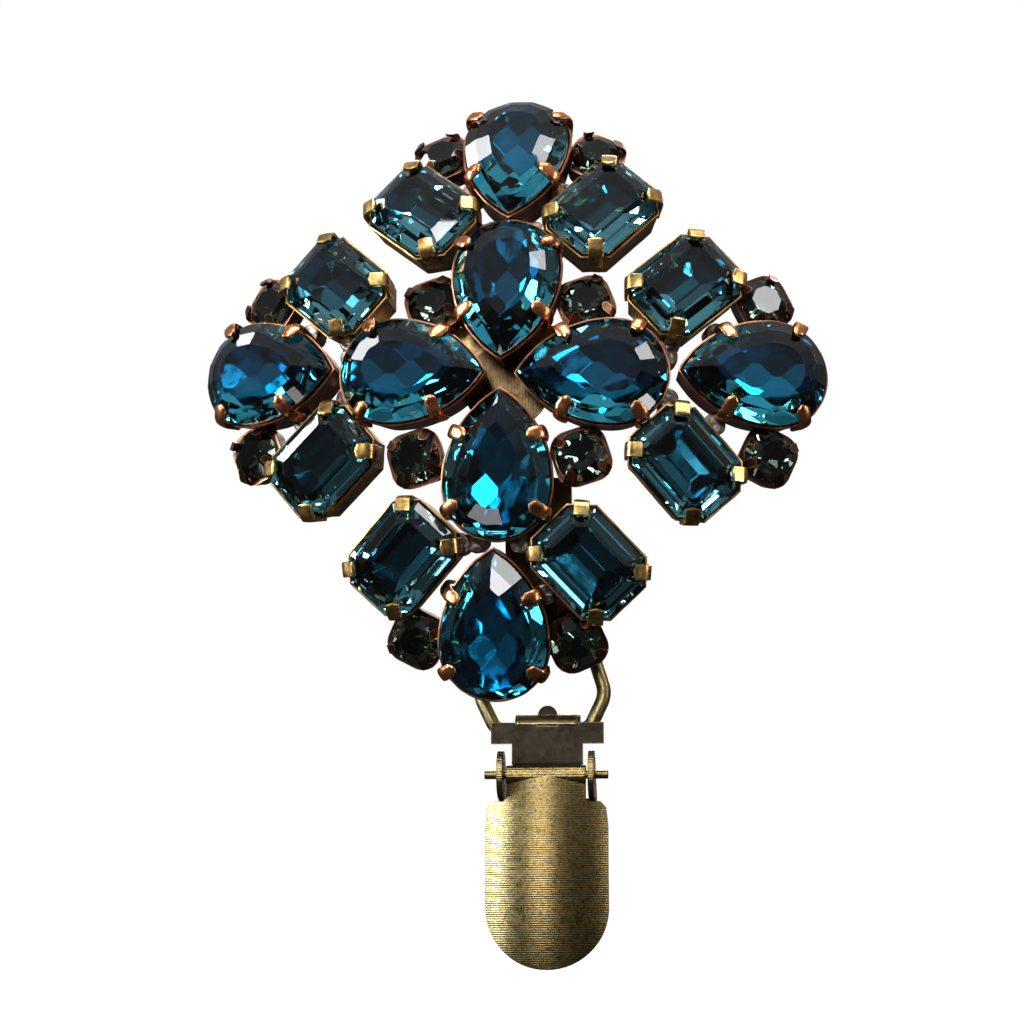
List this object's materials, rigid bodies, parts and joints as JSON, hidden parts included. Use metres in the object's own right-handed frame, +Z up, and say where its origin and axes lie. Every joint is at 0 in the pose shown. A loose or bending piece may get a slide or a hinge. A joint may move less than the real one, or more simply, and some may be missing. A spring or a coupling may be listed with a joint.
{
  "type": "brooch",
  "caption": "Cross-shaped costume brooch of claw-set glass stones on a shallow dome, with a hinged pin at the back and a small cam clip hanging from a ring.",
  "frame": {"origin": "middle of the pin stem's straight shank, behind the crossing of the arms", "axes": "+Z up as worn, with the clip hanging down; the stones face -Y; +X to the wearer's left, which is right in a front view, and along the pin towards its catch"},
  "size_m": [0.0777, 0.0183, 0.1089],
  "materials": {
    "pear_glass": "faceted teal-blue glass with a foiled back",
    "octagon_glass": "step-cut dark teal glass with a foiled back",
    "chaton_glass": "round black-green glass",
    "copper_setting": "aged copper plate, worn bright on the claws",
    "gold_setting": "antique gold plate, worn bright on the tabs",
    "chaton_cup": "dark antique copper plate",
    "solder": "dull grey soft solder",
    "back_brass": "oxidised ribbed brass sheet",
    "finding_brass": "antique brass, satin",
    "stem_steel": "hard drawn steel wire, ground to a point",
    "ring_brass": "antique brass wire",
    "clip_brass": "antique brass with a fine crosswise rib",
    "clip_dark": "dark matt antique brass"
  },
  "bodies": {
    "cluster": {"catch_housing": "finding_brass", "centre_plate": "back_brass", "chaton_settings_bottom": "chaton_cup", "chaton_settings_left": "chaton_cup", "chaton_settings_right": "chaton_cup", "chaton_settings_top": "chaton_cup", "chaton_stones_bottom": "chaton_glass", "chaton_stones_left": "chaton_glass", "chaton_stones_right": "chaton_glass", "chaton_stones_top": "chaton_glass", "hanger_strap": "back_brass", "octagon_setting_bottom_ccw": "gold_setting", "octagon_setting_bottom_cw": "gold_setting", "octagon_setting_left_ccw": "gold_setting", "octagon_setting_left_cw": "gold_setting", "octagon_setting_right_ccw": "gold_setting", "octagon_setting_right_cw": "gold_setting", "octagon_setting_top_ccw": "gold_setting", "octagon_setting_top_cw": "gold_setting", "octagon_stone_bottom_ccw": "octagon_glass", "octagon_stone_bottom_cw": "octagon_glass", "octagon_stone_left_ccw": "octagon_glass", "octagon_stone_left_cw": "octagon_glass", "octagon_stone_right_ccw": "octagon_glass", "octagon_stone_right_cw": "octagon_glass", "octagon_stone_top_ccw": "octagon_glass", "octagon_stone_top_cw": "octagon_glass", "pear_setting_bottom_inner": "copper_setting", "pear_setting_bottom_outer": "copper_setting", "pear_setting_left_inner": "copper_setting", "pear_setting_left_outer": "copper_setting", "pear_setting_right_inner": "copper_setting", "pear_setting_right_outer": "copper_setting", "pear_setting_top_inner": "copper_setting", "pear_setting_top_outer": "copper_setting", "pear_stone_bottom_inner": "pear_glass", "pear_stone_bottom_outer": "pear_glass", "pear_stone_left_inner": "pear_glass", "pear_stone_left_outer": "pear_glass", "pear_stone_right_inner": "pear_glass", "pear_stone_right_outer": "pear_glass", "pear_stone_top_inner": "pear_glass", "pear_stone_top_outer": "pear_glass", "pin_base_bar": "finding_brass", "pin_hinge_rivet": "finding_brass", "solder_joints": "solder"},
    "pin_stem": {"pin_stem": "stem_steel"},
    "catch_lock": {"catch_lock": "finding_brass"},
    "ring": {"ring": "ring_brass"},
    "clip": {"clip_back_jaw": "clip_dark"},
    "front_jaw": {"clip_front_jaw": "clip_brass"},
    "lever": {"clip_lever": "clip_brass", "clip_pin": "clip_brass"}
  },
  "joints": [
    {"name": "pin_stem_hinge", "type": "hinge", "parent": "cluster", "child": "pin_stem", "pos_m": [-0.0134, 0, 0], "axis": [0, 0, 1], "range_deg": [0, 75]},
    {"name": "catch_turn", "type": "hinge", "parent": "cluster", "child": "catch_lock", "pos_m": [0.0132, 0, 0], "axis": [1, 0, 0], "range_deg": [0, 120]},
    {"name": "ring_swing", "type": "hinge", "parent": "cluster", "child": "ring", "pos_m": [0.00375, -0.0006, -0.0361], "axis": [1, 0, 0], "range_deg": [0, 60]},
    {"name": "clip_swing", "type": "hinge", "parent": "ring", "child": "clip", "pos_m": [0.00445, -0.0006, -0.0471], "axis": [1, 0, 0], "range_deg": [-15, 60]},
    {"name": "lever_turn", "type": "hinge", "parent": "clip", "child": "lever", "pos_m": [0.00445, -0.0039, -0.0529], "axis": [1, 0, 0], "range_deg": [0, 70]},
    {"name": "jaw_open", "type": "hinge", "parent": "clip", "child": "front_jaw", "pos_m": [0.00445, -0.0039, -0.0529], "axis": [1, 0, 0], "range_deg": [-12, 0]}
  ],
  "couplings": [
    {"joint": "jaw_open", "follows": "lever_turn", "ratio": -0.17}
  ]
}
